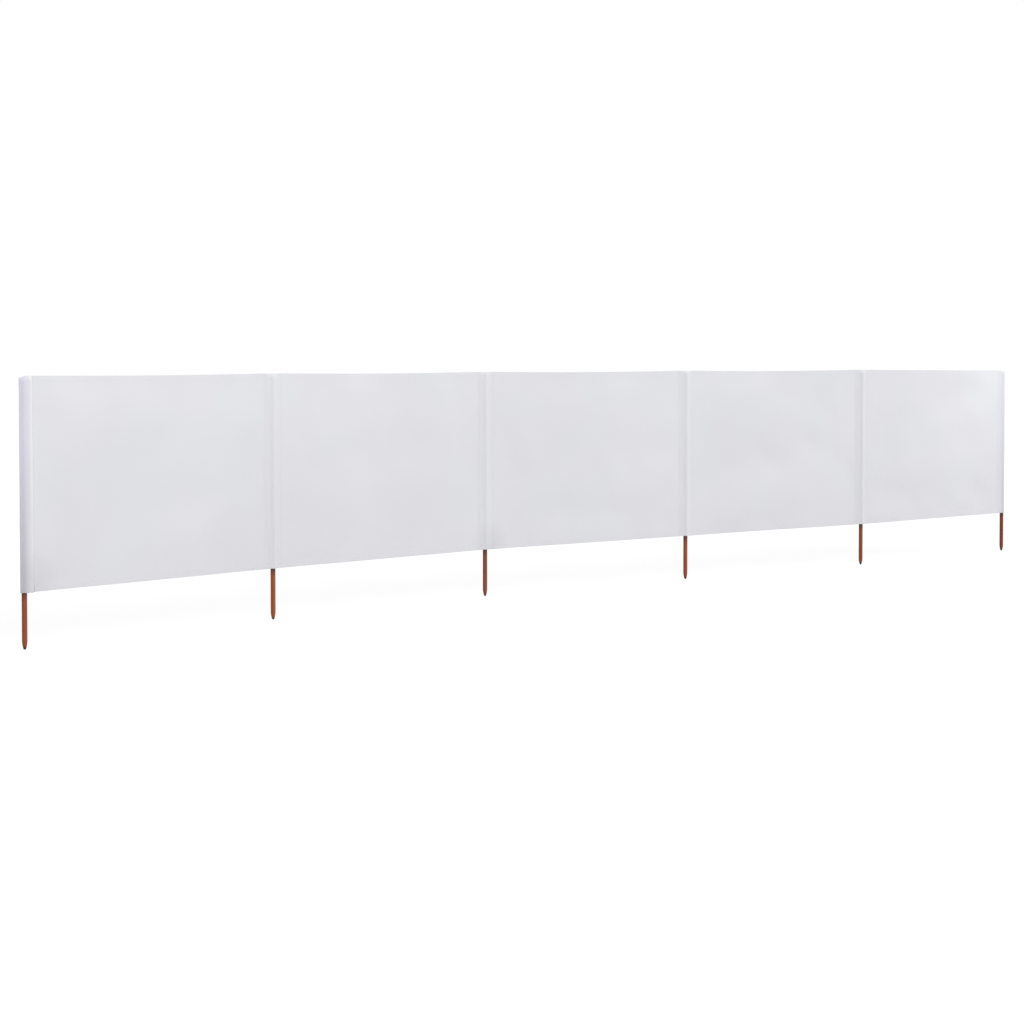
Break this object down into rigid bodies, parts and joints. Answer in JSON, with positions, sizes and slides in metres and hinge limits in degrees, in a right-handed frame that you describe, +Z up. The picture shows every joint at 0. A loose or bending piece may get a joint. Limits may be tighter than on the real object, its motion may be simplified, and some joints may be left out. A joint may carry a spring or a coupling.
{
  "type": "beach windbreak",
  "caption": "Long low cloth screen in straight bays, held up by round wooden stakes in sewn pockets that are closed at the top and open at the foot.",
  "frame": {"origin": "centre of the blunt tip of the first stake, at the left end of the run as seen from the front", "axes": "+X along the run from the first stake to the last, +Z up along the stakes, -Y towards the front, where the hems don't show"},
  "size_m": [6.0208, 0.2262, 1.01],
  "materials": {
    "stake_wood": "reddish-brown stain, satin",
    "panel_cloth": "plain woven, matt white",
    "pocket_cloth": "plain woven, matt white, sewn double",
    "hem_cloth": "plain woven, matt white, turned over and sewn"
  },
  "bodies": {
    "root": {"stake_1": "stake_wood", "stake_2": "stake_wood", "stake_3": "stake_wood", "stake_4": "stake_wood", "stake_5": "stake_wood", "stake_6": "stake_wood", "pocket_1": "pocket_cloth", "pocket_2": "pocket_cloth", "pocket_3": "pocket_cloth", "pocket_4": "pocket_cloth", "pocket_5": "pocket_cloth", "pocket_6": "pocket_cloth", "panel_1": "panel_cloth", "panel_2": "panel_cloth", "panel_3": "panel_cloth", "panel_4": "panel_cloth", "panel_5": "panel_cloth", "top_hem_1": "hem_cloth", "top_hem_2": "hem_cloth", "top_hem_3": "hem_cloth", "top_hem_4": "hem_cloth", "top_hem_5": "hem_cloth", "bottom_hem_1": "hem_cloth", "bottom_hem_2": "hem_cloth", "bottom_hem_3": "hem_cloth", "bottom_hem_4": "hem_cloth", "bottom_hem_5": "hem_cloth"}
  },
  "joints": []
}
